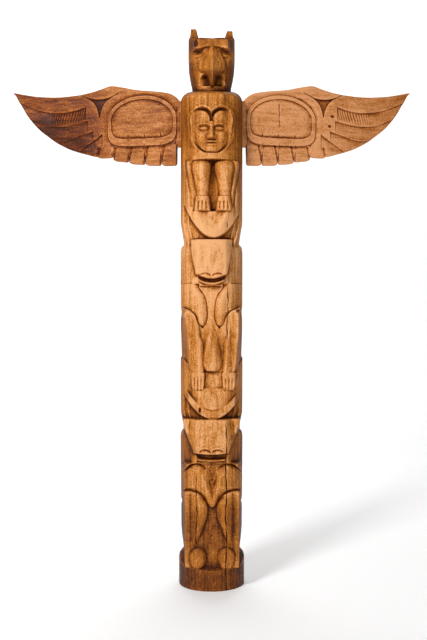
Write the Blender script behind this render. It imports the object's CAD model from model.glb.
"""Carved cedar totem pole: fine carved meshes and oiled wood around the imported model."""

import logging
import math
from dataclasses import dataclass, field
from enum import Enum

import bpy
import numpy as np
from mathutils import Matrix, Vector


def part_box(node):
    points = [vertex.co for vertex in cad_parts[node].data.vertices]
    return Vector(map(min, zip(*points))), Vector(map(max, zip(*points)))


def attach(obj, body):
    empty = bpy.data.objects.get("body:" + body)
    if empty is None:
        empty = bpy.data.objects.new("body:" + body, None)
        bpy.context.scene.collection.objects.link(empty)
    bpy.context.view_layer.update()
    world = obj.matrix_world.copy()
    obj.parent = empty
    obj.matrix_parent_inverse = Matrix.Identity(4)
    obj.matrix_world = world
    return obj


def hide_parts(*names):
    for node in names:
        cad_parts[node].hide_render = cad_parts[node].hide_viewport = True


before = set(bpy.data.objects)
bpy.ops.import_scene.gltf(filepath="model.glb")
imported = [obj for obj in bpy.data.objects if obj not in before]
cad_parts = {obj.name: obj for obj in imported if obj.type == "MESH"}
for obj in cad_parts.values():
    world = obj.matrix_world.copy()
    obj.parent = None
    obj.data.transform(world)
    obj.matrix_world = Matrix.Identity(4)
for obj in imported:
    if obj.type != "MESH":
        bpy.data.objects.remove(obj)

log = logging.getLogger("totem")
Array = np.ndarray
Points = tuple[tuple[float, float], ...]

# The carving is laid out on a grid: heights are shares of the pole's height, and widths and
# depths are shares of the log's diameter. Millimetres are used only for these five sizes.
GRID_ROWS = 552.0
GRID_ACROSS = 62.0
LOG_RADIUS = GRID_ACROSS / 2
POLE_HEIGHT = 1800.0
LOG_DIAMETER = 202.0
BASE_DIAMETER = 212.0
BASE_FRONT = 65.0
BASE_BACK = 117.0
LOG_SHARE = LOG_DIAMETER / BASE_DIAMETER


def mix(a: Array | float, b: Array | float, share: Array | float) -> Array | float:
    """Value between a and b."""
    return a + (b - a) * share


def ramp(start: Array | float, end: Array | float, value: Array | float) -> Array:
    """Smooth rise from nothing at start to one at end."""
    share = np.clip((value - start) / (end - start), 0.0, 1.0)
    return share * share * (3 - 2 * share)


def band(low: Array | float, high: Array | float, soft: float, value: Array) -> Array:
    """One between two limits, falling to nothing over a soft edge."""
    return ramp(low - soft / 2, low + soft / 2, value) * ramp(high + soft / 2, high - soft / 2, value)


def hump(a: Array, b: Array | float = 0.0) -> Array:
    """Round hump that is one in the middle and nothing at a distance of one."""
    share = np.maximum(0.0, 1 - a * a - b * b)
    return share * share


def bar(a: Array) -> Array:
    """Half a round bar: one along the middle, nothing at a distance of one."""
    return np.sqrt(np.maximum(0.0, 1 - a * a))


def fallen(a: Array) -> Array:
    """How far a rounded edge has dropped: nothing up to zero, and one at a distance of one."""
    return 1 - bar(np.clip(a, 0, 1))


def log_depth(x: Array, radius: float) -> Array:
    """Depth of a plain log's front at a distance to the side."""
    return np.sqrt(np.maximum(0, radius * radius - x * x))


def through(points: Points, at: Array | float) -> Array:
    """Smooth curve through a few (place, value) points.

    Args:
        points: places in rising order, with the value at each.
        at: places to read.

    Returns:
        The curve's values, level beyond its ends.
    """
    px = np.array([p[0] for p in points], float)
    pv = np.array([p[1] for p in points], float)
    step = np.diff(pv) / np.diff(px)
    slope = np.zeros_like(pv)
    before, after = step[:-1], step[1:]
    turning = before * after <= 0
    total = np.where(turning, 1.0, before + after)
    slope[1:-1] = np.where(turning, 0.0, 2 * before * after / total)
    place = np.clip(np.asarray(at, float), px[0], px[-1])
    k = np.clip(np.searchsorted(px, place, side="left") - 1, 0, len(px) - 2)
    run = px[k + 1] - px[k]
    t = (place - px[k]) / run
    lift = run * t * (1 - t) * ((1 - t) * slope[k] - t * slope[k + 1])
    return mix(pv[k], pv[k + 1], t * t * (3 - 2 * t)) + lift


def ripple(a: Array, b: Array, seed: int, scale: float, waves: int = 14) -> Array:
    """Slow random unevenness of a hand-worked face, between about -1 and 1.

    Args:
        a: first coordinate.
        b: second coordinate.
        seed: picks the pattern.
        scale: typical length of one wave.
        waves: how many waves are summed.

    Returns:
        The unevenness at each point.
    """
    rng = np.random.default_rng(seed)
    total = np.zeros(np.broadcast(a, b).shape)
    for _ in range(waves):
        turn = rng.uniform(0, 2 * math.pi)
        length = scale * rng.uniform(0.6, 1.7)
        phase = rng.uniform(0, 2 * math.pi)
        total += np.sin((a * math.cos(turn) + b * math.sin(turn)) * 2 * math.pi / length + phase)
    return total / math.sqrt(waves)


class Hand(Enum):
    """Side of the pole that a wing is on, as seen from the front."""

    LEFT = -1
    RIGHT = 1


class Carving:
    """One figure or feature that is carved into the front of the log."""

    def carve(self, x: Array, z: Array, d: Array) -> Array:
        """Carve the feature.

        Args:
            x: distance to the side.
            z: height.
            d: depth of the surface so far.

        Returns:
            The new depth.
        """
        raise NotImplementedError


@dataclass
class BirdHead(Carving):
    """The bird's head at the top: brow, eyes, hooked beak and the hollows beside its tip."""

    forehead: tuple[float, float, float, float] = (528.0, 535.5, 17.5, 24.6)
    eye: tuple[float, float] = (14.2, 522.6)
    cheek: tuple[float, float, float, float, float] = (17.5, 514.0, 3.6, 6.5, 1.4)
    hollow: tuple[float, float, float, float, float] = (7.8, 491.5, 5.8, 10.4, 14.5)
    middle: float = 0.8
    beak_low: float = 490.0
    beak_high: float = 531.0
    beak_half: Points = (
        (490, 1.3), (492.5, 2.3), (496, 2.9), (499.5, 3.8), (502, 6.5), (504.5, 10.2), (508, 12.6),
        (513, 12.4), (518, 10.4), (524, 7), (529, 4.2), (532, 3),
    )
    beak_ridge: Points = (
        (489, 24), (491, 29), (494, 32.5), (499, 34.6), (505, 34.4), (513, 32), (522, 28.4), (531, 25),
    )
    beak_foot: float = 21.6

    def carve(self, x: Array, z: Array, d: Array) -> Array:
        """Carve the head."""
        side = np.abs(x)
        away = np.abs(x - self.middle)
        low, high, half, depth = self.forehead
        brow = low - 2.2 * ramp(3, 15, away)
        d = d - 1.0 * ramp(high - 0.5, high + 0.7, z) * ramp(20, 17, side)
        d = mix(d, depth, band(brow, high, 1.2, z) * band(-half, half, 4, x))
        ex, ez = self.eye
        d = d - 2.6 * hump((side - ex + 1) / 8.5, (z - ez) / 6) * ramp(brow + 0.5, brow - 0.8, z)
        d = d + 1.5 * hump((side - ex) / 5.4, (z - ez + 0.8) / 2.6)
        d = d - 1.2 * hump((side - ex) / 5, (z - ez - 0.2) / 0.9)
        d = d - 0.6 * hump((side - ex + 0.5) / 5.6, (z - ez + 4) / 0.9)
        cx, cz, cw, ch, rise = self.cheek
        d = d + rise * hump((side - cx) / cw, (z - cz) / ch)
        hx, hz, hw, hh, depth = self.hollow
        arch = np.hypot((away - hx) / hw, (z - hz) / hh)
        d = d + 0.5 * hump((arch - 1.12) / 0.2) * ramp(hz - 1, hz + 1, z)
        floor = mix(depth, 17.5, ramp(3.5, 13, away))
        d = mix(d, floor, ramp(1.06, 0.8, arch) * ramp(hz - 1.0, hz + 0.5, z))
        half = through(self.beak_half, z)
        ridge = through(self.beak_ridge, z)
        share = away / half
        beak = ridge - (ridge - self.beak_foot) * np.clip(share, 0, 2) ** 0.95
        on_beak = ramp(1.12, 0.96, share) * band(self.beak_low, self.beak_high, 1.5, z)
        return mix(d, np.maximum(d, beak), on_beak)


@dataclass
class CalmFace:
    """A plain face: brows a third of the way down, nose two thirds, and five eyes wide."""

    top: float = 466.0
    chin: float = 424.0
    half: float = 19.5
    crown: float = 29.2
    fall: float = 0.016

    def shape(self, x: Array, z: Array) -> Array:
        """Depth of the face.

        Args:
            x: distance to the side.
            z: height.

        Returns:
            The depth of its surface.
        """
        height = self.top - self.chin
        brow_z = self.top - height / 3
        nose_z = self.top - height * 2 / 3
        mouth_z = nose_z - height / 9
        eye_z = brow_z - height * 0.1
        eye_x = self.half * 2 / 5
        eye_half = self.half / 5 + 0.9
        nose_half = self.half / 5
        side = np.abs(x)
        across, up = side - eye_x, z - eye_z
        d = self.crown - self.fall * x * x
        d = d - 2.6 * hump(across / (eye_half * 1.6), up / 5.2)
        d = d + 1.4 * hump(across / (eye_half * 2), (z - brow_z + 0.03 * across ** 2) / 2.2)
        d = d + 2.1 * hump(across / (eye_half * 1.1), up / 3)
        lid = np.hypot(across / eye_half, up / 2.1)
        d = d - 0.7 * hump((lid - 0.95) / 0.22)
        share = np.clip((brow_z - z) / (brow_z - nose_z), 0, 1)
        nose = mix(nose_half * 0.55, nose_half, share)
        rise = mix(1.0, 5.0, share)
        d = d + rise * ramp(1.25, 0.15, side / nose) * band(nose_z - 0.6, brow_z + 3, 1.8, z)
        d = d + 1.3 * hump((side - nose_half) / 2, (z - nose_z - 1.5) / 2.4)
        d = d - 0.8 * hump(side / (nose_half * 1.3), (z - nose_z + 1.3) / 1.1)
        d = d + 1.4 * hump((side - self.half * 0.55) / 6, (z - nose_z - 1) / 7)
        d = d + 1.4 * hump(x / eye_x, (z - mouth_z - 1.3) / 1.7)
        d = d + 1.5 * hump(x / (eye_x * 0.9), (z - mouth_z + 1.6) / 1.9)
        d = d - 1.3 * hump(x / eye_x, (z - mouth_z) / 0.8)
        return d + 1.8 * hump(x / 7, (z - self.chin - 3.5) / 4.5)


@dataclass
class HumanFigure(Carving):
    """The squatting figure: hood with a heart-shaped opening, knees drawn up, bare feet."""

    face: CalmFace = field(default_factory=CalmFace)
    lobe: tuple[float, float, float] = (10.3, 456.2, 11.4)
    side: tuple[float, float] = (20.8, 33.5)
    opening: float = 25.4
    rim_rise: float = 0.9
    bottom_z: float = 424.0
    knee: tuple[float, float] = (416.0, 31.8)
    ankle: tuple[float, float] = (382.5, 28.0)
    left_leg: tuple[float, float] = (-10.2, 1.2)
    right_leg: tuple[float, float] = (12.8, 0.1)
    leg_half: Points = ((380, 5.8), (386, 6.4), (400, 8.2), (410, 9.8), (418, 9.6))
    between: float = 19.5
    foot: tuple[float, float, float, float] = (367.5, 382.5, 8.1, 29.6)
    toes: int = 4
    lap: tuple[float, float, float] = (366.0, 417.0, 23.6)
    flank_x: Points = ((366, 20.5), (384, 21.5), (400, 24), (416, 26.2))

    def hood_gap(self, x: Array, z: Array) -> Array:
        """Distance to the edge of the hood's opening, negative inside."""
        lx, lz, radius = self.lobe
        lobes = np.hypot(np.abs(x) - lx, z - lz) - radius
        half, tall = self.side
        under = np.clip((lz - z) / tall, 0, 1)
        sides = np.maximum(np.abs(x) - half * (1 - under ** 2.6) ** 0.5, z - lz - 1)
        return np.minimum(lobes, sides)

    def leg(self, x: Array, z: Array, leg: tuple[float, float], d: Array) -> Array:
        """Raise one shin from ankle to knee.

        Args:
            x: distance to the side.
            z: height.
            leg: the knee's place to the side, and how far the ankle stands from it.
            d: depth of the surface so far.

        Returns:
            The new depth.
        """
        middle = leg[0] + leg[1] * ramp(416, 383, z)
        half = through(self.leg_half, z)
        crown = mix(self.ankle[1], self.knee[1], ramp(self.ankle[0], self.knee[0], z))
        cap = 8.5 * fallen((z - self.knee[0] + 8) / 9.7)
        on_leg = band(self.ankle[0], self.knee[0] + 1.6, 1.2, z)
        share = np.clip(np.abs(x - middle) / half, 0, 1)
        shape = crown - cap - half * (1 - bar(share)) - 0.6 * hump((z - self.ankle[0] - 4) / 3)
        return mix(d, np.maximum(d, shape), on_leg * (np.abs(x - middle) < half))

    def bare_foot(self, x: Array, z: Array, middle: float, d: Array) -> Array:
        """Raise one foot with its toes.

        Args:
            x: distance to the side.
            z: height.
            middle: the foot's place to the side.
            d: depth of the surface so far.

        Returns:
            The new depth.
        """
        low, high, half, top = self.foot
        share = (x - middle) / mix(half, half - 1.6, ramp(low + 3, high, z))
        toe = 0.5 + 0.5 * np.cos((share + 1) * math.pi * self.toes)
        slope = mix(0.4, -1.2, ramp(low, high, z))
        shape = top + slope - 3.2 * np.abs(share) ** 3 - 1.6 * toe ** 3 * ramp(high - 4, high - 7, z)
        shape = shape + 0.6 * hump((z - high) / 1.8) + 0.5 * hump((z - low - 6.5) / 3)
        return mix(d, shape, band(low, high, 1.2, z) * ramp(1.02, 0.96, np.abs(share)))

    def carve(self, x: Array, z: Array, d: Array) -> Array:
        """Carve the figure."""
        gap = self.hood_gap(x, z)
        inside = ramp(0.6, -0.9, gap) * ramp(self.bottom_z - 1, self.bottom_z + 1, z)
        d = d + self.rim_rise * hump((gap - 1.5) / 2.4) * ramp(424, 430, z)
        d = mix(d, self.opening, inside)
        d = mix(d, np.maximum(self.opening, self.face.shape(x, z)), inside * ramp(-1.4, -3.4, gap))
        low, high, depth = self.lap
        flank = through(self.flank_x, z)
        in_lap = band(low, high, 2, z) * ramp(flank + 1, flank - 1, np.abs(x - 1))
        d = mix(d, mix(depth, self.between, hump((x - 1) / 5)), in_lap)
        d = d - 1.8 * hump((np.abs(x - 1) - flank) / 2.2) * band(372, 418, 3, z)
        d = self.leg(x, z, self.left_leg, d)
        d = self.leg(x, z, self.right_leg, d)
        d = self.bare_foot(x, z, sum(self.left_leg), d)
        return self.bare_foot(x, z, sum(self.right_leg) - 0.8, d)


@dataclass
class Seat(Carving):
    """A scooped seat that is cut back at the top and ends in a U-shaped edge."""

    x: float
    z: float
    bend: float
    top: float
    back: float
    lip: float = 31.4

    def edge(self, x: Array) -> Array:
        """Height of the U-shaped edge."""
        return self.z + self.bend * (x - self.x) ** 2

    def carve(self, x: Array, z: Array, d: Array) -> Array:
        """Scoop the seat."""
        above = z - self.edge(x)
        share = np.clip(above / (self.top - self.z), 0, 1)
        fall = 0.0085 * x * x * np.maximum(0, 1 - share * 1.5)
        scoop = mix(self.lip - fall, self.back, ramp(0, 1, share))
        limit = log_depth(x, LOG_RADIUS)
        on = ramp(-0.7, 0.7, above) * ramp(self.top + 1, self.top - 1, z)
        return mix(d, np.minimum(scoop, limit + 0.2), on)


@dataclass
class BearHead(Carving):
    """A bear's head under a seat: ears and eyes in hollows, and a long snout."""

    seat: Seat
    brow: float
    ear: tuple[float, float]
    rim_x: Points
    snout: tuple[float, float, float]
    snout_half: Points
    crown: tuple[float, float]
    flat: float
    nose: tuple[float, float, float]
    mouth: tuple[float, float, float, float, float, float]
    arm: tuple[float, float, float]
    smile: float = 0.022

    def carve(self, x: Array, z: Array, d: Array) -> Array:
        """Carve the head."""
        side = np.abs(x)
        below = self.seat.edge(x) - z
        if self.brow > 0:
            d = mix(d, 29.8 - 0.006 * x * x, band(0, self.brow, 1.2, below) * ramp(25, 22, side))
        ear_depth, ear_low = self.ear
        hollow = ramp(self.brow, self.brow + 1.4, below) * ramp(ear_low - 1.5, ear_low + 1.5, z)
        hollow = hollow * ramp(29.5, 27.5, side)
        d = mix(d, np.sqrt(np.maximum(0, ear_depth ** 2 - x * x * 0.62)), hollow)
        rim = through(self.rim_x, z)
        d = d + 1.8 * hump((side - rim) / 1.9) * hollow
        d = d + 1.44 * hump((side - rim + 5) / 1.7) * hollow
        arm_low, arm_high, arm_in = self.arm
        d = d - 0.6 * band(arm_low, arm_high, 2, z) * ramp(arm_in - 1, arm_in + 1, side)
        top, low, sx = self.snout
        level = z - self.smile * x * x
        half = through(self.snout_half, z)
        share = np.abs(x - sx) / half
        crown = mix(self.crown[1], self.crown[0], ramp(low, top, z))
        beyond = np.maximum(0, np.abs(x - sx) - self.flat + 1.5 * hump((z - low) / 8))
        drop = 0.006 * x * x + 0.95 * beyond * beyond / (beyond + 0.8)
        on_snout = ramp(low - 0.8, low + 0.8, level) * ramp(top + 0.8, top - 0.8, z)
        on_snout = on_snout * ramp(1.05, 0.97, share)
        d = mix(d, np.maximum(24.0, crown - drop), on_snout)
        nz, nx, nw = self.nose
        wing = np.abs(side - nx) / nw
        arc = z - nz - 2.2 * (1 - wing * wing)
        d = d - 1.5 * ramp(0.3, -0.5, arc) * ramp(-2.6, -0.9, arc) * ramp(1, 0.8, wing)
        d = d + 0.6 * hump(wing * 0.9, (arc - 1.1) / 1.4)
        d = d - 0.7 * hump(x / nw * 2.4, (z - nz + 2) / 3)
        lip_z, mouth_low, mouth_half, depth, lower, lower_depth = self.mouth
        in_mouth = band(mouth_low, lip_z, 1, level) * ramp(mouth_half + 1, mouth_half - 1, side)
        d = mix(d, depth - 0.008 * x * x, in_mouth)
        lip = hump((level - lower) / 1.9) * ramp(mouth_half + 0.5, mouth_half - 2, side)
        return d + (lower_depth - depth) * lip


@dataclass
class UpperLimbs(Carving):
    """Upper bear's forearms, legs, feet and the tail between them."""

    seat: Seat
    arm: tuple[float, float, float] = (254.0, 297.0, 30.2)
    arm_in: Points = ((254, 7.8), (258, 5), (267, 3.2), (279, 4.2), (287, 7), (294, 11.6))
    arm_out: Points = ((254, 9), (258, 12.2), (266, 15.4), (270.7, 20), (274.6, 28))
    leg: tuple[float, float, float] = (210.0, 272.0, 31.0)
    leg_in: Points = (
        (196, 8), (212, 8.6), (224, 9.4), (238, 9.4), (248, 12.4), (257, 13.4), (266, 15.2), (272, 20),
    )
    flank_x: Points = ((210, 22.4), (222, 24.4), (248, 27), (262, 29))
    foot: tuple[float, float, float, float, float] = (193.5, 211.0, 8.4, 22.0, 29.0)
    toes: int = 4
    tail: tuple[float, float, float] = (211.0, 264.0, 31.2)
    tail_half: Points = (
        (211, 1.5), (212, 5), (214, 8), (217.5, 10.2), (221, 10.6), (230, 9.4), (243, 7.2), (264, 3.4),
    )
    floor: tuple[float, float, float] = (196.0, 212.0, 24.4)
    reach: float = 31.6
    rim_rise: float = 13.0
    flank_radius: float = 30.0
    between: float = 25.2

    def carve(self, x: Array, z: Array, d: Array) -> Array:
        """Carve the limbs over the seat that the feet stand on."""
        side = np.abs(x + 0.5)
        leg_side = np.abs(x - 1.8)
        leg_low, leg_high, leg_crown = self.leg
        limit = log_depth(x, self.reach)
        rim = leg_low + self.rim_rise * ramp(18, 30, leg_side)
        over_rim = ramp(rim - 0.8, rim + 0.8, z)
        body = over_rim * ramp(295.7, 294.3, z) * ramp(29.5, 26, np.abs(x))
        d = mix(d, mix(self.between, 26.2, ramp(240, 280, z)), body)
        flank = through(self.flank_x, z)
        inner = through(self.leg_in, z)
        middle = (inner + flank) / 2
        half = (flank - inner) / 2
        away = np.abs(leg_side - middle)
        knee = 6 * fallen((z - leg_high + 12) / 13)
        shape = leg_crown - 0.011 * x * x - half * 0.8 * fallen(away / half) - knee
        on_leg = band(leg_low, leg_high, 1.6, z) * ramp(half + 0.6, half - 0.6, away)
        d = mix(d, np.maximum(d, np.minimum(shape, limit)), on_leg)
        outside = over_rim * ramp(leg_high - 7, leg_high - 9, z) * ramp(flank - 3, flank + 3, leg_side)
        d = mix(d, log_depth(x, self.flank_radius) - 0.3, outside)
        arm_low, arm_high, arm_crown = self.arm
        arm_in = through(self.arm_in, z)
        arm_out = through(self.arm_out, z)
        under = np.where(z < 275, ramp(arm_out + 0.5, arm_out - 0.7, side), 1.0)
        on_arm = band(arm_low, arm_high, 1.4, z) * ramp(arm_in - 0.6, arm_in + 0.7, side) * under
        inner_round = 6.5 * fallen((arm_in + 8 - side) / 8)
        inner_round = inner_round + 3 * fallen((z - arm_high + 11) / 11.5)
        outer_round = 5 * fallen((side - arm_out + 6) / 6) * ramp(284, 270, z)
        shape = arm_crown - 0.0095 * x * x - 0.6 * ramp(285, 256, z) - inner_round - outer_round
        d = mix(d, np.minimum(np.maximum(shape, 12), limit), on_arm)
        d = mix(d, 17, 0.8 * hump((side - 27.2) / 3.2, (z - 271) / 3.4))
        tail_low, tail_high, tail_crown = self.tail
        half = through(self.tail_half, z)
        share = np.clip(np.abs(x - 0.4) / half, 0, 2)
        shape = tail_crown - 6.4 * ramp(224, tail_high, z) - half * 0.9 * (1 - bar(share))
        shape = shape - 4 * fallen((220 - z) / 9)
        on_tail = band(tail_low, tail_high, 1.8, z) * ramp(1.04, 0.95, share)
        d = mix(d, np.maximum(d, shape), on_tail)
        low, high, depth = self.floor
        foot_low, foot_high, foot_in, foot_out, foot_top = self.foot
        on_floor = band(low, high, 1.4, z) * ramp(foot_in + 1.6, foot_in, np.abs(x - 1.2))
        seat = self.seat
        scoop = mix(seat.lip - 2.5, seat.back, ramp(seat.z, seat.top, z))
        d = mix(d, mix(scoop, depth, ramp(low, high, z)), on_floor)
        share = (leg_side - (foot_in + foot_out) / 2) / ((foot_out - foot_in) / 2)
        toe = 0.5 + 0.5 * np.cos((share + 1) * math.pi * self.toes)
        shape = foot_top + 1.2 * ramp(foot_high, foot_low, z) - 0.006 * x * x
        shape = shape - 1.0 * toe ** 3 * ramp(foot_high - 4, foot_high - 8, z) - 1.6 * share ** 4
        shape = shape - 3.5 * fallen((foot_low + 5 - z) / 5.5)
        width = mix(0.72, 1, ramp(foot_low, foot_low + 7, z))
        on_foot = band(foot_low, foot_high, 1.4, z) * ramp(width + 0.06, width - 0.06, np.abs(share))
        return mix(d, shape, on_foot)


@dataclass
class LowerLimbs(Carving):
    """Lower bear's hunched forearms that meet in a V, its legs and its round feet."""

    arm_top: Points = ((0, 110.5), (4, 116), (9, 120.6), (14, 122.4), (20, 121.4), (26, 116.5), (30, 110))
    arm_low: Points = ((0, 80.5), (3.5, 83), (7, 88.4), (12, 93), (16, 94.8), (24, 95.8), (30, 94))
    crown: float = 32.6
    leg_in: Points = ((36, 12.2), (47, 11.8), (58, 9), (69, 5), (79, 3.6), (84, 4.2), (90, 8))
    foot: tuple[float, float, float, float, float] = (13.8, 32.0, 9.2, 9.8, 31.2)
    reach: float = 32.2
    leg_end: float = 42.0

    def carve(self, x: Array, z: Array, d: Array) -> Array:
        """Carve the limbs."""
        side = np.abs(x - 0.6)
        top = through(self.arm_top, side)
        low = through(self.arm_low, side)
        chin = ramp(top - 1, top + 1, z) * ramp(124, 122, z) * ramp(29, 25, side)
        d = mix(d, 26.5 - 0.06 * (123 - z), chin)
        below = ramp(low + 0.8, low - 0.8, z) * ramp(29.5, 26, side)
        d = mix(d, mix(26.0, 24.6, ramp(36, 60, z)), below)
        inner = through(self.leg_in, z)
        middle = (inner + 30) / 2
        half = (30 - inner) / 2
        knee = 4.5 * fallen((z - low + 13) / 14)
        round_off = 7 * fallen(np.abs(side - middle) / half)
        shape = 31.8 - 0.0105 * x * x - round_off - knee + mix(-3, 0, ramp(38, 58, z))
        limit = log_depth(x, self.reach)
        on_leg = ramp(self.leg_end - 8, self.leg_end - 2, z) * ramp(low + 0.6, low - 0.8, z)
        on_leg = on_leg * ramp(inner - 0.5, inner + 0.8, side) * ramp(30, 27, side)
        d = mix(d, np.maximum(d, np.minimum(shape, limit)), on_leg)
        on_arms = ramp(low - 0.8, low + 0.8, z) * ramp(top + 1, top - 1, z)
        share = np.clip(np.abs(z - (top + low) / 2) / ((top - low) / 2), 0, 1)
        shape = self.crown - 0.0095 * x * x - 9 * (1 - bar(share)) * ramp(0, 8, side)
        shape = np.minimum(shape - 3.6 * ((side - 14) / 14) ** 2, limit)
        parting = hump((x - 0.6) / 7, (z - 108) / 16)
        shape = shape - 3.4 * parting
        d = mix(d, shape, on_arms * ramp(29.6, 27.5, side))
        d = d - 1.8 * hump((side - 2.0 - (z - 103) * 0.22) / 1.1, (z - 104) / 5)
        foot_x, foot_z, foot_half, foot_tall, foot_top = self.foot
        dx = (side - foot_x) / foot_half
        dz = (z - foot_z) / np.where(z > foot_z, foot_tall, 1.5 * foot_tall)
        away = np.hypot(dx, dz)
        ball = foot_top - 7.5 * fallen(away)
        return mix(d, np.maximum(d, ball), ramp(1.02, 0.92, away))


@dataclass
class DryingCheck:
    """A long crack that the wood opened as it dried: place, run, width and depth."""

    x: float
    low: float
    high: float
    half: float = 0.5
    depth: float = 1.6
    wander: float = 0.5
    lean: float = 0.0

    def cut(self, x: Array, z: Array) -> Array:
        """Depth of the crack at each point."""
        middle = self.x + self.lean * (z - self.low)
        middle = middle + self.wander * np.sin(z * 0.13 + self.x) + 0.2 * np.sin(z * 0.61)
        width = self.half * (0.7 + 0.3 * np.sin(z * 0.37 + self.x))
        run = ramp(self.low, self.low + 6, z) * ramp(self.high, self.high - 6, z)
        return self.depth * ramp(1.3, 0.3, np.abs(x - middle) / width) * run


@dataclass
class KnotHole:
    """A small dark knot that fell in: place, half sizes and depth."""

    x: float
    z: float
    half: float
    tall: float
    depth: float = 1.5

    def cut(self, x: Array, z: Array) -> Array:
        """Depth of the hole at each point."""
        return self.depth * ramp(1.2, 0.5, np.hypot((x - self.x) / self.half, (z - self.z) / self.tall))


@dataclass
class MeshKit:
    """Turns arrays into Blender meshes."""

    name: str

    def make(self, verts: Array, faces: Array) -> bpy.types.Object:
        """Make an object from corner positions and faces.

        Args:
            verts: positions in metres, one row each.
            faces: corner numbers, three or four in a row.

        Returns:
            The new object, in the scene.
        """
        mesh = bpy.data.meshes.new(self.name)
        corners = faces.shape[1]
        mesh.vertices.add(len(verts))
        mesh.vertices.foreach_set("co", verts.astype(np.float32).ravel())
        mesh.loops.add(faces.size)
        mesh.loops.foreach_set("vertex_index", faces.astype(np.int32).ravel())
        mesh.polygons.add(len(faces))
        mesh.polygons.foreach_set("loop_start", np.arange(0, faces.size, corners, dtype=np.int32))
        mesh.update(calc_edges=True)
        mesh.validate()
        piece = bpy.data.objects.new(self.name, mesh)
        bpy.context.scene.collection.objects.link(piece)
        return piece

    @staticmethod
    def apply(piece: bpy.types.Object) -> None:
        """Bake the piece's modifiers into its mesh."""
        graph = bpy.context.evaluated_depsgraph_get()
        baked = bpy.data.meshes.new_from_object(piece.evaluated_get(graph))
        old = piece.data
        piece.modifiers.clear()
        piece.data = baked
        bpy.data.meshes.remove(old)

    @classmethod
    def thin_to(cls, piece: bpy.types.Object, triangles: int) -> None:
        """Thin the mesh to a number of triangles, keeping its form."""
        count = sum(len(p.vertices) - 2 for p in piece.data.polygons)
        if count <= triangles:
            return
        cut = piece.modifiers.new("thin", "DECIMATE")
        cut.ratio = triangles / count
        cls.apply(piece)

    @staticmethod
    def turned(points: Array, turn: float) -> Array:
        """Points turned about the pole's axis by an angle."""
        x, y = points[:, 0], points[:, 1]
        across, back = x * math.cos(turn) - y * math.sin(turn), x * math.sin(turn) + y * math.cos(turn)
        return np.stack([across, back, points[:, 2]], axis=-1)

    @staticmethod
    def read(piece: bpy.types.Object, name: str = "co") -> Array:
        """A place or a direction for each corner, one row each."""
        values = np.empty(len(piece.data.vertices) * 3, np.float32)
        piece.data.vertices.foreach_get(name, values)
        return values.reshape(-1, 3)

    @staticmethod
    def keep_within(piece: bpy.types.Object, node: str) -> None:
        """Move any corner that stands outside the node's box back to its face.

        Args:
            piece: the object.
            node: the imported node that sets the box.
        """
        low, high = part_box(node)
        place = np.clip(MeshKit.read(piece), np.array(low, np.float32), np.array(high, np.float32))
        piece.data.vertices.foreach_set("co", place.ravel())
        piece.data.update()

    @classmethod
    def cut_box(cls, piece: bpy.types.Object, low: tuple, high: tuple, turn: float) -> None:
        """Cut a box out of the piece.

        Args:
            piece: the object.
            low: the box's lowest corner, before it is turned.
            high: its highest corner.
            turn: angle that the box is turned about the pole's axis.
        """
        corners = np.array([
            (x, y, z) for z in (low[2], high[2]) for y in (low[1], high[1]) for x in (low[0], high[0])
        ])
        sides = ((0, 2, 3, 1), (4, 5, 7, 6), (0, 1, 5, 4), (2, 6, 7, 3), (0, 4, 6, 2), (1, 3, 7, 5))
        block = cls("slot").make(cls.turned(corners, turn), np.array(sides))
        cut = piece.modifiers.new("slot", "BOOLEAN")
        cut.object = block
        cut.operation = "DIFFERENCE"
        cut.solver = "EXACT"
        cls.apply(piece)
        bpy.data.objects.remove(block)

    @staticmethod
    def hollows(piece: bpy.types.Object, passes: int, reach: float) -> Array:
        """How deep each corner sits under its surroundings.

        Args:
            piece: the object.
            passes: rounds of smoothing, which set how wide the surroundings are.
            reach: depth in metres that counts as one.

        Returns:
            A value for each corner, positive in a hollow and negative on a crest.
        """
        mesh = piece.data
        count = len(mesh.vertices)
        place = MeshKit.read(piece).astype(float)
        normal = MeshKit.read(piece, "normal")
        edges = np.empty(len(mesh.edges) * 2, np.int32)
        mesh.edges.foreach_get("vertices", edges)
        a, b = edges.reshape(-1, 2).T
        ones = np.bincount(a, minlength=count) + np.bincount(b, minlength=count)
        smooth = place.copy()
        for _ in range(passes):
            total = np.stack([
                np.bincount(a, smooth[b, k], count) + np.bincount(b, smooth[a, k], count) for k in range(3)
            ], axis=1)
            smooth = 0.4 * smooth + 0.6 * total / np.maximum(ones, 1)[:, None]
        return np.sum((smooth - place) * normal, axis=1) / reach

    @staticmethod
    def facing(piece: bpy.types.Object) -> Array:
        """How much each corner looks to the front, from nothing at the sides to one."""
        return np.clip(-MeshKit.read(piece, "normal")[:, 1].astype(float), 0, 1)

    @staticmethod
    def paint(piece: bpy.types.Object, name: str, values: Array) -> None:
        """Store a value for each corner of the mesh."""
        layer = piece.data.attributes.new(name, "FLOAT", "POINT")
        layer.data.foreach_set("value", values.astype(np.float32))


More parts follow.
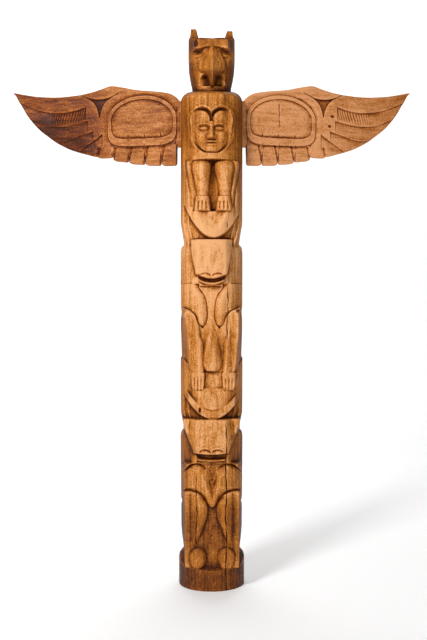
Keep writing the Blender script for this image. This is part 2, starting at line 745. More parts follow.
@dataclass(frozen=True)
class CedarFinish:
    """Oiled cedar: colours from stained hollow to bare crest, grain along one axis, satin oil."""

    name: str
    ladder: tuple[tuple[float, tuple[float, float, float]], ...]
    grain: tuple[float, float, float]
    roughness: float = 0.52
    bump: float = 0.35
    streak: float = 0.9
    speck: float = 0.9

    def material(self) -> bpy.types.Material:
        """Build the node material.

        Returns:
            The finished material.
        """
        made = bpy.data.materials.new(self.name)
        made.use_nodes = True
        tree = made.node_tree
        tree.nodes.clear()
        out = tree.nodes.new("ShaderNodeOutputMaterial")
        shader = tree.nodes.new("ShaderNodeBsdfPrincipled")
        shader.inputs["IOR"].default_value = 1.42
        shader.inputs["Specular IOR Level"].default_value = 0.2
        shader.inputs["Coat Weight"].default_value = 0.03
        shader.inputs["Coat Roughness"].default_value = 0.3
        tree.links.new(shader.outputs[0], out.inputs[0])
        place = tree.nodes.new("ShaderNodeTexCoord").outputs["Object"]
        streaks = self.noise(tree, place, self.grain, 1.0, 5.0, 0.6)
        fine = self.noise(tree, place, tuple(g * 3.4 for g in self.grain), 1.0, 3.0, 0.7)
        blotch = self.noise(tree, place, (11.0, 11.0, 7.0), 1.0, 4.0, 0.6)
        specks = self.noise(tree, place, (290.0, 290.0, 230.0), 1.0, 2.0, 0.6)
        tone = self.attribute(tree, "tone")
        for texture, share in (
            (streaks, self.streak), (fine, 0.5), (blotch, 0.55), (specks, self.speck),
        ):
            swing = self.math(tree, "MULTIPLY_ADD", texture, share, -share / 2)
            tone = self.math(tree, "ADD", tone, swing)
        colours = tree.nodes.new("ShaderNodeValToRGB")
        stops = colours.color_ramp.elements
        stops[0].position, stops[0].color = self.ladder[0][0], (*self.ladder[0][1], 1)
        stops[1].position, stops[1].color = self.ladder[-1][0], (*self.ladder[-1][1], 1)
        for position, colour in self.ladder[1:-1]:
            stops.new(position).color = (*colour, 1)
        tree.links.new(tone, colours.inputs[0])
        tree.links.new(colours.outputs[0], shader.inputs["Base Color"])
        rough = self.math(tree, "MULTIPLY_ADD", blotch, 0.3, self.roughness - 0.15)
        duller = self.math(tree, "MULTIPLY", self.attribute(tree, "hollow"), 0.25)
        rough = self.math(tree, "ADD", rough, duller)
        tree.links.new(self.clamp(tree, rough), shader.inputs["Roughness"])
        height = self.math(tree, "ADD", fine, self.math(tree, "MULTIPLY", specks, 0.8))
        relief = tree.nodes.new("ShaderNodeBump")
        relief.inputs["Strength"].default_value = self.bump
        relief.inputs["Distance"].default_value = 0.002
        tree.links.new(height, relief.inputs["Height"])
        tree.links.new(relief.outputs[0], shader.inputs["Normal"])
        return made

    @staticmethod
    def noise(tree: bpy.types.NodeTree, place, scale: tuple, size: float, detail: float, rough: float):
        """Noise stretched by a scale for each axis.

        Args:
            tree: the material's nodes.
            place: coordinates to read.
            scale: waves in a metre along each axis.
            size: the noise's own scale.
            detail: how many finer layers.
            rough: how strong the finer layers are.

        Returns:
            The noise's output.
        """
        stretch = tree.nodes.new("ShaderNodeMapping")
        stretch.inputs["Scale"].default_value = scale
        tree.links.new(place, stretch.inputs["Vector"])
        texture = tree.nodes.new("ShaderNodeTexNoise")
        texture.inputs["Scale"].default_value = size
        texture.inputs["Detail"].default_value = detail
        texture.inputs["Roughness"].default_value = rough
        tree.links.new(stretch.outputs[0], texture.inputs["Vector"])
        return texture.outputs["Fac"]

    @staticmethod
    def attribute(tree: bpy.types.NodeTree, name: str):
        """Output that reads a value stored on the mesh."""
        node = tree.nodes.new("ShaderNodeAttribute")
        node.attribute_name = name
        return node.outputs["Fac"]

    @staticmethod
    def math(tree: bpy.types.NodeTree, kind: str, *values):
        """Output of a sum on sockets and numbers."""
        node = tree.nodes.new("ShaderNodeMath")
        node.operation = kind
        for slot, value in zip(node.inputs, values):
            if isinstance(value, (int, float)):
                slot.default_value = value
            else:
                tree.links.new(value, slot)
        return node.outputs[0]

    @staticmethod
    def clamp(tree: bpy.types.NodeTree, value):
        """Output kept between nothing and one."""
        node = tree.nodes.new("ShaderNodeClamp")
        tree.links.new(value, node.inputs["Value"])
        return node.outputs[0]


POLE_CEDAR = CedarFinish(
    name="oiled_cedar_pole",
    ladder=(
        (0.0, (0.06, 0.012, 0.0015)),
        (0.22, (0.17, 0.042, 0.004)),
        (0.45, (0.33, 0.1, 0.01)),
        (0.7, (0.58, 0.205, 0.03)),
        (1.0, (0.86, 0.43, 0.18)),
    ),
    grain=(95.0, 95.0, 3.5),
)
WING_CEDAR = CedarFinish(
    name="oiled_cedar_wings",
    ladder=(
        (0.0, (0.05, 0.009, 0.001)),
        (0.2, (0.16, 0.03, 0.004)),
        (0.45, (0.32, 0.085, 0.01)),
        (0.7, (0.54, 0.2, 0.052)),
        (1.0, (0.78, 0.35, 0.15)),
    ),
    grain=(4.0, 60.0, 85.0),
    roughness=0.5,
)


@dataclass
class CarvedPole:
    """The carved log with its base, in one piece of wood."""

    bird: BirdHead = field(default_factory=BirdHead)
    human: HumanFigure = field(default_factory=HumanFigure)
    upper_seat: Seat = field(default_factory=lambda: Seat(2, 341.5, bend=0.0405, top=368, back=26))
    lower_seat: Seat = field(default_factory=lambda: Seat(1.5, 174.9, bend=0.0285, top=206, back=25))
    lower_limbs: LowerLimbs = field(default_factory=LowerLimbs)
    outline: Points = (
        (30, 28), (38, 28), (46, 29.2), (60, 30.3), (78, 30.4), (82, 29.6), (86, 30.5), (118, 30.8),
        (146, 31), (151, 30.2), (154, 28.2), (158, 28.3), (165, 29.6), (172, 30.8), (220, 31),
        (224, 31), (226, 29.9), (240, 30.3), (262, 30.8), (270, 30.2), (277, 30.9), (328, 31),
        (334, 30.2), (337, 27.6), (344, 28.5), (352, 29.8), (360, 30.9), (478, 31),
    )
    head_outline: Points = (
        (490, 19.4), (497, 20.6), (504, 22), (512, 22.9), (524, 23.3), (541, 23.2), (544, 21.7),
        (553, 20.9),
    )
    tone_by_height: Points = (
        (0, 0.17), (19, 0.19), (22, 0.5), (45, 0.4), (70, 0.42), (97, 0.68), (125, 0.7), (150, 0.8),
        (170, 0.74), (185, 0.78), (200, 0.84), (235, 0.7), (270, 0.86), (285, 0.93), (320, 0.98),
        (352, 1.02), (372, 0.88), (400, 0.74), (425, 0.66), (465, 0.6), (500, 0.68), (526, 0.66),
        (529, 0.46), (536, 0.36), (552, 0.4),
    )
    bird_low: float = 483.0
    human_reach: tuple[float, float] = (364.0, 486.0)
    upper_seat_low: float = 330.0
    upper_head_low: float = 290.0
    upper_limbs_reach: tuple[float, float] = (190.0, 298.0)
    lower_seat_low: float = 164.0
    lower_head_low: float = 120.0
    lower_limbs_high: float = 125.0
    figure_top: float = 478.0
    neck: float = 490.0
    neck_radius: float = 19.4
    neck_tilt: float = 5.0
    back_flatness: float = 0.94
    back_width: float = 30.0
    base_front: float = BASE_FRONT / POLE_HEIGHT * GRID_ROWS
    base_back: float = BASE_BACK / POLE_HEIGHT * GRID_ROWS
    crest_saddle: float = 542.0
    crest_tips: tuple[float, float] = (552.0, 550.0)
    crest_dip: float = 3.0
    tuft: tuple[float, float] = (12.4, 15.8)
    turns: int = 420
    base_layers: int = 36
    foot_layers: int = 70
    body_layers: int = 960
    rim_layers: int = 60
    crest_layers: int = 46
    triangles: int = 194000

    def __post_init__(self) -> None:
        """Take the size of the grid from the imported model, and set out the bears and cracks."""
        low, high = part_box("carved_pole")
        self.row = (high[2] - low[2]) / GRID_ROWS
        self.across = (high[0] - low[0]) * LOG_SHARE / GRID_ACROSS
        self.base_radius = LOG_RADIUS / LOG_SHARE
        self.upper_limbs = UpperLimbs(self.lower_seat)
        self.upper_bear = BearHead(
            seat=self.upper_seat, brow=0, ear=(24.8, 334), rim_x=((334, 22.5), (346, 25.5), (360, 28)),
            snout=(340.2, 301, -0.1), snout_half=((301, 15), (307, 15.6), (323, 18.6), (340, 20.2)),
            crown=(32.6, 36.4), flat=13.6, nose=(305.2, 6.2, 5.9),
            mouth=(301.8, 294.6, 13.2, 28.5, 297, 33.2),
            arm=(297, 334, 19.5),
        )
        self.lower_bear = BearHead(
            seat=self.lower_seat, brow=8.7, ear=(24.8, 154), rim_x=((154, 22), (164, 25), (176, 28)),
            snout=(166, 131.5, -0.2),
            snout_half=((131, 17), (135, 17.6), (144, 21.5), (156, 26.2), (166, 28.5)),
            crown=(32.4, 36.4), flat=14.4, nose=(135.4, 6.2, 5.9),
            mouth=(132.2, 122.6, 14.5, 28, 126, 33.2),
            arm=(117, 151, 20), smile=0.005,
        )
        self.checks = (
            DryingCheck(x=-14.7, low=42, high=112),
            DryingCheck(x=14.3, low=-6, high=164, half=0.6, depth=2.0),
            DryingCheck(x=15.6, low=240, high=296, half=0.45),
            DryingCheck(x=15.8, low=349, high=360, half=0.4),
        )
        self.knots = (
            KnotHole(x=-15.4, z=531, half=1.9, tall=3.6, depth=2.6),
            KnotHole(x=-11.4, z=174.6, half=1.3, tall=2.6, depth=1.6),
            KnotHole(x=-19.0, z=10.5, half=1.0, tall=2.4, depth=1.2),
        )

    def radius(self, z: Array, frontness: Array) -> Array:
        """Radius of the log, with the shoulders rounded over to the neck.

        Args:
            z: height.
            frontness: one at the front, minus one at the back.

        Returns:
            The radius before carving.
        """
        neck = self.neck - self.neck_tilt * np.maximum(0, frontness)
        rise = np.clip((z - self.figure_top) / (neck - self.figure_top), 0, 1)
        shoulder = self.neck_radius + (LOG_RADIUS - self.neck_radius) * np.sqrt(1 - rise * rise)
        head = through(self.head_outline, z + (self.neck - neck) * ramp(neck + 20, neck, z))
        body = through(self.outline, z)
        return np.where(z <= self.figure_top, body, np.where(z >= neck, head, shoulder))

    def carve(self, x: Array, z: Array, d: Array) -> Array:
        """Carve every figure into the front.

        Args:
            x: distance to the side.
            z: height.
            d: depth of the plain log.

        Returns:
            The depth of the carved surface.
        """
        upper_edge = self.upper_seat.edge(x)
        lower_edge = self.lower_seat.edge(x)
        steps = (
            (self.bird_low, np.inf, self.bird),
            (*self.human_reach, self.human),
            (self.upper_seat_low, self.upper_seat.top + 1, self.upper_seat),
            (self.lower_seat_low, self.lower_seat.top + 2, self.lower_seat),
            (self.upper_head_low, upper_edge + 1, self.upper_bear),
            (*self.upper_limbs_reach, self.upper_limbs),
            (self.lower_head_low, lower_edge + 1, self.lower_bear),
            (-np.inf, self.lower_limbs_high, self.lower_limbs),
        )
        for low, high, carving in steps:
            d = np.where((z > low) & (z < high), carving.carve(x, z, d), d)
        return d

    def marks(self, x: Array, z: Array) -> Array:
        """Depth of gouge marks, unevenness, cracks and knots.

        Args:
            x: distance to the side.
            z: height.

        Returns:
            How far the surface is cut back.
        """
        uneven = 0.16 * ripple(x, z, 3, 11) + 0.07 * ripple(x, z * 0.8, 5, 4.2)
        wander = 1.2 * ripple(x, z, 11, 16)
        scallops = np.abs(np.sin((z + wander) * 1.15)) * np.abs(np.cos((x + 0.3 * wander) * 0.9))
        hood = band(430, 484, 6, z) * ramp(-1, 3, self.human.hood_gap(x, z))
        forearm = band(262, 296, 6, z) * ramp(2, 8, np.abs(x))
        lower_arm = band(88, 122, 6, z)
        worked = np.clip(hood + forearm + 0.8 * lower_arm + 0.25, 0, 1)
        cut = uneven + 0.34 * worked * scallops
        for crack in self.checks:
            cut = cut + crack.cut(x, z)
        for knot in self.knots:
            cut = cut + knot.cut(x, z)
        return cut

    def figure_point(self, sine: Array, front: Array, z: Array) -> tuple[Array, Array, Array]:
        """Points on the outside of the carved log.

        Args:
            sine: how far round to the side.
            front: one at the front, minus one at the back.
            z: height.

        Returns:
            Side distance, height and depth.
        """
        rounded = self.radius(z, front)
        plain = np.minimum(rounded, self.back_width)
        radius = mix(rounded, plain, 0.6 * ramp(0, -0.5, front))
        x = radius * sine
        depth = radius * front
        carved = self.carve(x, z, depth) - self.marks(x, z)
        behind = depth * self.back_flatness + 0.12 * ripple(x, z * 0.5, 8, 7) * ramp(0, -0.3, front)
        depth = np.where(front > 0, mix(depth, carved, ramp(0.02, 0.3, front)), behind)
        return x, z + np.zeros_like(x), depth

    def crest_height(self, x: Array, depth: Array) -> Array:
        """Height of the head's top, with a tuft at each side."""
        tip = np.where(x < 0, *self.crest_tips)
        rise = ramp(*self.tuft, np.abs(x))
        length = ramp(14, 8, np.abs(depth + 5))
        dip = self.crest_dip * ramp(0, 18, depth) * (1 + 0.6 * ramp(14, 0, np.abs(x)))
        return self.crest_saddle - dip + (tip - self.crest_saddle) * rise * length

    def base_top(self, depth: Array) -> Array:
        """Height of the base's sloping top."""
        share = (self.base_radius - depth) / (2 * self.base_radius)
        return mix(self.base_front, self.base_back, share)

    def surface(self) -> tuple[Array, Array, Array]:
        """The closed surface as rings from the underside to the middle of the top.

        Returns:
            Side distances, heights and depths, one row for each ring.
        """
        even = np.linspace(0, 2 * math.pi, self.turns, endpoint=False)
        angle = even + 0.55 * np.sin(even)
        front, sine = -np.cos(angle), np.sin(angle)
        rings: list[tuple[Array, Array, Array]] = []
        flat = np.zeros_like(sine)
        reach = self.base_radius - 0.3
        for share in (0.35, 0.7, 1.0):
            rings.append((reach * share * sine, flat, reach * share * front))
        top = self.base_top(self.base_radius * front)
        for k in range(self.base_layers + 1):
            z = 0.3 + (top - 0.7) * k / self.base_layers
            cut = self.marks(self.base_radius * sine, z) * ramp(-0.1, 0.3, front)
            facet = 0.16 * ripple(angle * 14, z * 0.15, 21, 2.2)
            groove = np.clip(ripple(angle * 31, z * 0.02, 23, 2.6) - 0.5, 0, 1)
            radius = self.base_radius - 0.5 * np.clip(cut, -0.2, 3) - np.abs(facet) - 0.3 * groove
            rings.append((radius * sine, z, radius * front))
        x, _, start = self.figure_point(sine, front, top + 1.5)
        ledge = self.base_top(start)
        rim = self.base_radius - 0.5
        rings.append((rim * sine, top, rim * front))
        for k in range(1, 6):
            share = k / 5
            ring = (mix(rim * sine, x, share), mix(top, ledge, share), mix(rim * front, start, share))
            rings.append(ring)
        foot_top, rim_start = 60.0, 512.0
        for k in range(1, self.foot_layers + 1):
            rings.append(self.figure_point(sine, front, mix(ledge, foot_top, k / self.foot_layers)))
        for k in range(1, self.body_layers + 1):
            z = mix(foot_top, rim_start, k / self.body_layers) + flat
            rings.append(self.figure_point(sine, front, z))
        reach = float(through(self.head_outline, self.crest_saddle)) - 2.2
        edge_x, edge_d = sine * reach, front * reach
        edge_z = self.crest_height(edge_x, edge_d)
        for k in range(1, self.rim_layers + 1):
            z = mix(rim_start, edge_z - 0.6, k / self.rim_layers)
            rings.append(self.figure_point(sine, front, z))
        for k in range(self.crest_layers):
            share = 1 - k / self.crest_layers
            x, d = edge_x * share, edge_d * share
            rings.append((x, self.crest_height(x, d) - 0.08 * ripple(x, d, 9, 5), d))
        return tuple(np.stack(axis) for axis in zip(*rings))

    def build(self) -> bpy.types.Object:
        """Build the pole's mesh and cut the slots for the wings.

        Returns:
            The pole.
        """
        x, z, d = self.surface()
        rings, turns = x.shape
        verts = np.stack([x * self.across, -d * self.across, z * self.row], axis=-1).reshape(-1, 3)
        low = np.array([[0.0, 0.0, 0.0]])
        top = np.array([[0.0, 0.0, self.crest_saddle * self.row]])
        verts = np.concatenate([verts, low, top])
        i, j = np.meshgrid(np.arange(turns), np.arange(rings - 1))
        a, b = j * turns + i, j * turns + (i + 1) % turns
        quads = np.stack([b, a, a + turns, b + turns], axis=-1).reshape(-1, 4)
        ring = np.arange(turns)
        after = (ring + 1) % turns
        foot, crown = rings * turns, rings * turns + 1
        last = (rings - 1) * turns
        caps = np.concatenate([
            np.stack([ring, after, np.full(turns, foot)], axis=-1),
            np.stack([last + after, last + ring, np.full(turns, crown)], axis=-1),
        ])
        faces = np.concatenate([quads[:, [0, 1, 2]], quads[:, [0, 2, 3]], caps])
        pole = MeshKit("pole_carving").make(verts, faces)
        MeshKit.thin_to(pole, self.triangles)
        MeshKit.keep_within(pole, "carved_pole")
        for hand in Hand:
            MeshKit.cut_box(pole, *Wing(hand).slot())
        return pole

    def dress(self, pole: bpy.types.Object) -> None:
        """Give the pole its tones and its finish."""
        x, y, z = MeshKit.read(pole).T.astype(float)
        x, d, z = x / self.across, -y / self.across, z / self.row
        narrow = MeshKit.hollows(pole, 6, 0.0012)
        wide = MeshKit.hollows(pole, 60, 0.006)
        tone = through(self.tone_by_height, z)
        away = 1 - MeshKit.facing(pole)
        tone = tone - 0.24 * ramp(12, 16, np.abs(x)) * band(484, 516, 6, z)
        tone = tone - 0.22 * ramp(17, 20, np.abs(x)) * band(117, 151, 3, z)
        tone = tone - np.minimum(0.5 * away ** 1.1, mix(0.34, 0.5, ramp(-4, 4, d)))
        hollow = 0.4 * np.clip(wide, 0, 1.2) + 0.32 * np.clip(narrow - 0.1, 0, 1.4)
        for crack in self.checks:
            hollow = hollow + 0.6 * crack.cut(x, z) * (d > 0)
        for knot in self.knots:
            hollow = hollow + 0.6 * knot.cut(x, z) * (d > 0)
        tone = tone - hollow + 0.2 * np.clip(-wide, 0, 0.5) + 0.06 * np.clip(-narrow, 0, 1)
        MeshKit.paint(pole, "tone", np.clip(tone, 0, 1.1))
        MeshKit.paint(pole, "hollow", np.clip(hollow, 0, 1))
        pole.data.materials.clear()
        pole.data.materials.append(POLE_CEDAR.material())
        pole.data.shade_smooth()
        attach(pole, "root")
        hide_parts("carved_pole")


@dataclass
class Wing:
    """A carved plank wing: ovoid, three-point hollow, lapped feathers and a row of quill ends."""

    hand: Hand
    sweep: float = math.radians(12)
    root: float = 31.3
    tip: float = 212.0
    tongue_low: float = 20.0
    top: Points = (
        (31, 66.8), (37, 72), (44, 75.6), (57, 78), (77, 80.6), (96, 84.8), (105, 86.1), (114, 83.6),
        (126, 80.6), (141, 78.3), (160, 77.4), (182, 79), (201, 82.4), (212, 84.6),
    )
    bottom: Points = (
        (120.5, 14.8), (133, 17.7), (149, 22.8), (163, 29.7), (174, 37.6), (184, 45.6), (195.8, 59),
        (204.5, 72.8), (212, 83.6),
    )
    feather_edge: tuple[float, ...] = (36, 51.9, 69, 86.3, 103.3, 120.5)
    feather_low: tuple[float, ...] = (2.6, 3.3, 5.3, 8.6, 13)
    slit_top: float = 21.0
    ovoid: tuple[float, float, float, float, float] = (71.8, 50, 36, 24.4, 26.4)
    ring: float = 3.6
    ring_band: float = 7.5
    shingles: tuple[Points, ...] = (
        ((118, 66), (131.7, 65.7), (141.4, 63), (157, 61), (168, 61.6), (180, 64), (194, 69), (205, 73.4)),
        ((118, 54), (130, 51.4), (141.8, 49), (156, 47), (172, 48), (180, 50.6), (193, 55.5)),
        ((118, 44), (126.7, 39.5), (136.5, 36.9), (147, 33.4), (156.7, 31.6), (166, 33), (174, 36)),
        ((112, 38), (119, 33.4), (124.1, 30), (132.2, 25), (141, 20)),
    )
    recess: tuple[float, float, float, float] = (116.8, 54.5, 79, 21)
    recess_half: Points = ((54.5, 0.4), (60, 1.5), (64, 2.8), (68, 5), (71.6, 8.5), (75, 14), (79, 21))
    knots: tuple[tuple[float, float, float, float], ...] = (
        (126.4, 55.6, 2.2, 1.9), (123.4, 45.6, 2.0, 1.8),
    )
    check: tuple[float, float, float] = (69.5, 41.6, 65.5)
    shingle_start: tuple[float, ...] = (131.5, 129.5, 124, 114)
    half_thickness: float = 12.0 / 3.258
    peak: float = 86.1
    tip_share: float = 0.55
    tongue: float = 0.0215
    clearance: float = 0.0005
    along_columns: int = 640
    up_rows: int = 150
    triangles: int = 188000

    def top_at(self, along: Array) -> Array:
        """Height of the plank's upper edge."""
        return np.where(along < self.root, through(self.top, self.root) - 1, through(self.top, along))

    def bottom_at(self, along: Array) -> Array:
        """Height of the plank's lower edge, with a slit between the quill ends."""
        edges, lows = self.feather_edge, self.feather_low
        low = np.full_like(along, self.slit_top)
        for k in range(len(lows)):
            middle = (edges[k] + edges[k + 1]) / 2
            half = (edges[k + 1] - edges[k]) / 2
            away = np.abs(along - middle)
            following = lows[min(k + 1, len(lows) - 1)]
            slope = (following - lows[k]) * (along - middle) / (4 * half)
            scallop = lows[k] + slope + 2 * (away / half) ** 6
            edge = ramp(half - 0.9, half, away)
            if k == 0:
                edge = np.where(along < middle, 0, edge)
            end = mix(scallop, self.slit_top - 5, edge)
            low = np.where(away <= half, np.minimum(low, end), low)
        low = np.where(along > edges[-1], through(self.bottom, along), low)
        return np.where(along < self.root, self.tongue_low, low)

    def ovoid_share(self, along: Array, z: Array, half: float, up: float, down: float) -> Array:
        """Distance from the ovoid's middle as a share: one on its outline."""
        a = np.abs(along - self.ovoid[0]) / half
        over = np.hypot(a, (z - self.ovoid[1]) / up)
        b = np.maximum(0, self.ovoid[1] - z) / down
        return np.where(z > self.ovoid[1], over, (a ** 5 + b ** 5) ** 0.2)

    def recess_share(self, along: Array, z: Array) -> Array:
        """One inside the three-point hollow and nothing outside."""
        middle, low, high, wide = self.recess
        half = through(self.recess_half, z)
        dip = high - 6.5 * (1 - ((along - middle) / wide) ** 2)
        return ramp(half + 0.5, half - 0.5, np.abs(along - middle)) * band(low, dip, 0.8, z)

    def knot_share(self, along: Array, z: Array) -> Array:
        """One in a knot or in the centre check, and nothing elsewhere."""
        share = np.zeros_like(z)
        if self.hand is Hand.LEFT:
            return share
        for place, height, reach, tall in self.knots:
            knot = ramp(1.1, 0.6, np.hypot((along - place) / reach, (z - height) / tall))
            share = np.maximum(share, knot)
        place, low, high = self.check
        crack = ramp(0.5, 0.2, np.abs(along - place - 0.3 * np.sin(z * 0.7))) * band(low, high, 3, z)
        return np.maximum(share, crack)

    def carving(self, along: Array, z: Array) -> Array:
        """Depth of the carving on the front.

        Args:
            along: distance from the pole's middle.
            z: height over the wing's datum.

        Returns:
            Nothing at the plank's own face, and negative below it.
        """
        _, _, half, up, down = self.ovoid
        outer = self.ovoid_share(along, z, half, up, down)
        ring, ring_band = self.ring, self.ring_band
        inner = self.ovoid_share(along, z, half - ring, up - ring, down - ring_band)
        cut = -1.1 * ramp(1, 1.015, outer) * ramp(1.16, 1.03, outer) - 0.25 * ramp(1, 1.02, outer)
        cut = cut - 1.2 * ramp(1.01, 0.99, inner) * (1 - 0.85 * ramp(0.99, 0.8, inner))
        in_feathers = ramp(self.slit_top + 2.8, self.slit_top + 1.4, z) * ramp(122, 119, along)
        groove = np.zeros_like(z)
        for edge in self.feather_edge[1:]:
            line = edge - 0.2 * np.maximum(0, z - 6)
            groove = np.maximum(groove, hump((along - line) / 2.2))
        cut = cut - 1.4 * groove * in_feathers
        beyond = ramp(1.04, 1.1, outer) * ramp(18, 22, z + (along - 112) * 0.1)
        step = np.zeros_like(z)
        for k, line in enumerate(self.shingles):
            below = through(line, along) - z
            reach = 14 if k == 0 else 11
            start = self.shingle_start[k]
            lap = ramp(0, 0.7, below) * (1 - 0.75 * ramp(0, reach, below))
            lap = lap * ramp(start - 0.5, start + 0.5, along)
            step = np.where(below > 0, lap, step)
        cut = cut - 1.5 * step * beyond
        cut = mix(cut, -2.0, self.recess_share(along, z))
        strokes = np.sin(along * 1.12 + 0.22 * z + 0.5 * ripple(along, z, 4, 20)) ** 4
        below = through(self.shingles[0], along) - z
        beyond = beyond * ramp(131, 133, along)
        arm = beyond * band(0, 12, 2, below) * ramp(178, 158, along)
        leaf = beyond * ramp(10, 14, below)
        dots = np.abs(np.sin(along * 1.5 + z)) * np.abs(np.sin(z * 1.7 - along * 0.4))
        uneven = 0.08 * ripple(along, z, 31, 12) + 0.04 * ripple(along, z, 33, 4)
        cut = cut - 0.5 * self.knot_share(along, z)
        return cut - 0.6 * arm * strokes - 0.3 * leaf * dots - uneven

    @property
    def node(self) -> str:
        """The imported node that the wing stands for."""
        return "left_wing" if self.hand is Hand.LEFT else "right_wing"

    def steps(self) -> tuple[float, float, float, float]:
        """Sizes of the grid in metres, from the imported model.

        Returns:
            Step across the pole, step along the plank, step upwards, and the wing's lowest height.
        """
        low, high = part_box("right_wing")
        pole_low, pole_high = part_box("carved_pole")
        across = (pole_high[0] - pole_low[0]) * LOG_SHARE / GRID_ACROSS
        tip_front = self.tip_share * self.half_thickness * across * math.sin(self.sweep)
        tip_reach = (high[0] - tip_front) / math.cos(self.sweep)
        along_step = (tip_reach - LOG_RADIUS * across) / (self.tip - LOG_RADIUS)
        up_step = (high[2] - low[2]) / (self.peak - self.feather_low[0])
        return across, along_step, up_step, low[2]

    def slot(self) -> tuple[tuple, tuple, float]:
        """Room for the tongue in the pole's side.

        Returns:
            The slot's lowest and highest corners before it is turned, and its turn.
        """
        across, _, up_step, foot = self.steps()
        edge = LOG_RADIUS * across
        inner, outer = edge - self.tongue - self.clearance, edge * 1.4
        if self.hand is Hand.LEFT:
            inner, outer = -outer, -inner
        half = self.half_thickness * across + self.clearance
        high = through(self.top, self.root) - 1
        bottom = foot + (self.tongue_low - self.feather_low[0]) * up_step - self.clearance
        top = foot + (float(high) - self.feather_low[0]) * up_step + self.clearance
        return (inner, -half, bottom), (outer, half, top), self.sweep * self.hand.value

    def build(self) -> bpy.types.Object:
        """Build the wing's closed mesh.

        Returns:
            The wing.
        """
        across, along_step, up_step, foot = self.steps()
        inner = LOG_RADIUS - self.tongue / along_step
        tongue = np.linspace(inner, self.root - 0.01, 12)
        blade = self.root + (self.tip - self.root) * np.linspace(0, 1, self.along_columns)
        along = np.concatenate([tongue, blade])
        bottom = self.bottom_at(along)
        top = np.maximum(bottom + 0.8, self.top_at(along))
        share = np.linspace(0, 1, self.up_rows)
        share = share - 0.06 * np.sin(2 * math.pi * share)
        a = np.repeat(along[:, None], self.up_rows, 1)
        z = bottom[:, None] + (top - bottom)[:, None] * share[None, :]
        taper = mix(1, self.tip_share, ramp(150, self.tip, a))
        on_wing = ramp(self.root, self.root + 1, a)
        edge = np.minimum(z - bottom[:, None], top[:, None] - z)
        rounded = 0.9 * on_wing * hump(edge / 2.2)
        front = (self.half_thickness - rounded + self.carving(a, z) * on_wing) * taper
        behind = -(self.half_thickness - 0.7 * rounded) * taper
        columns, rows = a.shape
        count = columns * rows

        def solid(depth: Array) -> Array:
            """Positions of one face in metres, before the sweep."""
            reach = LOG_RADIUS * across + (a - LOG_RADIUS) * along_step
            up = (z - self.feather_low[0]) * up_step
            return np.stack([reach, -depth * across, up], axis=-1).reshape(-1, 3)

        verts = np.concatenate([solid(front), solid(behind)])
        i, j = np.meshgrid(np.arange(columns - 1), np.arange(rows - 1), indexing="ij")
        k = (i * rows + j).ravel()
        faces = np.stack([k, k + rows, k + rows + 1, k + 1], axis=-1)
        back = np.stack([k, k + 1, k + rows + 1, k + rows], axis=-1) + count
        rim = [
            (np.arange(columns - 1) * rows, rows, True),
            (np.arange(columns - 1) * rows + rows - 1, rows, False),
            (np.arange(rows - 1), 1, False),
            (np.arange(rows - 1) + (columns - 1) * rows, 1, True),
        ]
        walls = []
        for start, step, turned in rim:
            ends = (start, start + step) if not turned else (start + step, start)
            walls.append(np.stack([ends[0], ends[1], ends[1] + count, ends[0] + count], axis=-1))
        faces = np.concatenate([faces, back, *walls])
        verts = MeshKit.turned(verts, self.sweep)
        verts[:, 2] += foot
        if self.hand is Hand.LEFT:
            verts[:, 0] *= -1
            faces = faces[:, ::-1]
        triangles = np.concatenate([faces[:, [0, 1, 2]], faces[:, [0, 2, 3]]])
        wing = MeshKit(f"{self.node}_carving").make(verts, triangles)
        MeshKit.thin_to(wing, self.triangles)
        MeshKit.keep_within(wing, self.node)
        return wing

    def dress(self, wing: bpy.types.Object) -> None:
        """Give the wing its tones and its finish."""
        x, y, z = MeshKit.read(wing).T.astype(float)
        across, _, up_step, foot = self.steps()
        along = (np.abs(x) * math.cos(self.sweep) + y * math.sin(self.sweep)) / across
        up = self.feather_low[0] + (z - foot) / up_step
        front = MeshKit.facing(wing) > 0.3
        narrow = MeshKit.hollows(wing, 5, 0.0009)
        wide = MeshKit.hollows(wing, 50, 0.003)
        tone = mix(0.88, 0.72, ramp(110, 165, along))
        if self.hand is Hand.LEFT:
            tone = mix(0.55, mix(0.1, 0.32, ramp(54, 61, up)), ramp(104, 138, along))
        hollow = 0.25 * np.clip(wide, 0, 1.2) + 0.42 * np.clip(narrow, 0, 1.6)
        hollow = hollow + front * (0.42 * self.recess_share(along, up) + 0.5 * self.knot_share(along, up))
        tone = tone - hollow + 0.2 * np.clip(-wide, 0, 0.6) + 0.1 * np.clip(-narrow, 0, 1)
        tone = tone - 0.5 * np.clip(0.95 - MeshKit.facing(wing), 0, 0.6) * (y < 0.2)
        MeshKit.paint(wing, "tone", np.clip(tone, 0, 1.1))
        MeshKit.paint(wing, "hollow", np.clip(hollow, 0, 1))
        wing.data.materials.clear()
        wing.data.materials.append(WING_CEDAR.material())
        wing.data.shade_smooth()
        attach(wing, "root")
        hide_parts(self.node)


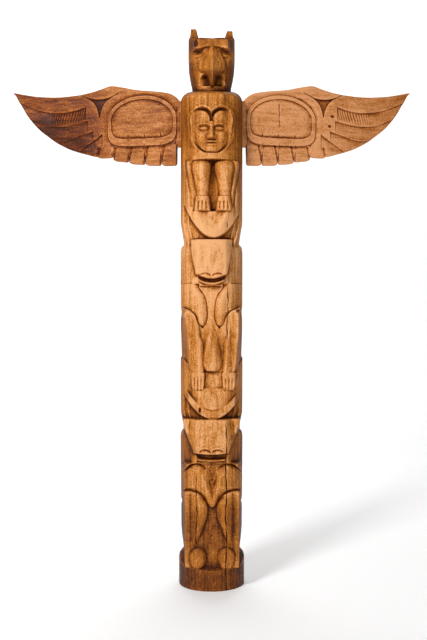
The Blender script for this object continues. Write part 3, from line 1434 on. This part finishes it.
@dataclass
class Studio:
    """Pale floor that curves up behind, soft lights and the camera."""

    distance: float = 2.898
    eye_height: float = 0.854
    eye_x: float = 0.0062
    lens: float = 50.0

    def camera(self) -> None:
        """Place the camera level, in front of the pole."""
        data = bpy.data.cameras.new("camera")
        data.sensor_fit = "VERTICAL"
        data.sensor_height = 36.0
        data.lens = self.lens
        view = bpy.data.objects.new("camera", data)
        view.location = (self.eye_x, -self.distance, self.eye_height)
        view.rotation_euler = (math.pi / 2, 0, 0)
        bpy.context.scene.collection.objects.link(view)
        bpy.context.scene.camera = view

    def floor(self) -> None:
        """Make a floor that sweeps up behind the pole."""
        profile = [(-6.0, 0.0), (2.5, 0.0)]
        for k in range(1, 13):
            turn = k / 12 * math.pi / 2
            profile.append((2.5 + 2.0 * math.sin(turn), 2.0 - 2.0 * math.cos(turn)))
        profile.append((4.5, 9.0))
        verts = np.array([(side, y, z) for y, z in profile for side in (-9.0, 9.0)])
        rows = len(profile) - 1
        faces = np.array([[2 * k, 2 * k + 1, 2 * k + 3, 2 * k + 2] for k in range(rows)])
        floor = MeshKit("floor").make(verts, faces)
        floor.data.shade_smooth()
        made = bpy.data.materials.new("pale_floor")
        made.use_nodes = True
        shader = made.node_tree.nodes["Principled BSDF"]
        shader.inputs["Base Color"].default_value = (0.93, 0.93, 0.93, 1)
        shader.inputs["Roughness"].default_value = 0.9
        shader.inputs["Specular IOR Level"].default_value = 0.1
        shader.inputs["Emission Color"].default_value = (1, 1, 1, 1)
        shader.inputs["Emission Strength"].default_value = 0.16
        floor.data.materials.append(made)

    def lamp(self, name: str, place: tuple, aim: tuple, size: float, power: float) -> None:
        """Hang one square soft light.

        Args:
            name: the light's name.
            place: where it hangs.
            aim: the point that it faces.
            size: its side in metres.
            power: its strength in watts.
        """
        data = bpy.data.lights.new(name, "AREA")
        data.size = size
        data.energy = power
        light = bpy.data.objects.new(name, data)
        light.location = place
        away = np.array(place) - np.array(aim)
        flat = math.hypot(away[0], away[1])
        light.rotation_euler = (math.atan2(flat, away[2]), 0, math.atan2(away[0], -away[1]))
        bpy.context.scene.collection.objects.link(light)

    def light(self) -> None:
        """Light the pole softly from the front."""
        self.lamp("key", (-1.9, -3.0, 3.2), (0, 0, 0.9), 0.8, 122)
        self.lamp("fill", (1.6, -3.8, 1.0), (0, 0, 0.7), 1.6, 18)
        self.lamp("backdrop", (0, 2.4, 4.6), (0, 4.2, 1.0), 3.0, 120)
        world = bpy.data.worlds.new("world")
        world.use_nodes = True
        sky = world.node_tree.nodes["Background"]
        sky.inputs[0].default_value = (1, 1, 1, 1)
        sky.inputs[1].default_value = 0.14
        bpy.context.scene.world = world
        bpy.context.scene.view_settings.view_transform = "Standard"


def main() -> None:
    """Build the studio, the pole and its wings, and report each piece."""
    logging.basicConfig(level=logging.INFO)
    studio = Studio()
    studio.camera()
    studio.floor()
    studio.light()
    pole = CarvedPole()
    carved = pole.build()
    pole.dress(carved)
    log.info("carved pole: %d faces", len(carved.data.polygons))
    for hand in Hand:
        wing = Wing(hand)
        plank = wing.build()
        wing.dress(plank)
        log.info("%s: %d faces", plank.name, len(plank.data.polygons))


if __name__ == "__main__":
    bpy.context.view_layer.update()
    main()
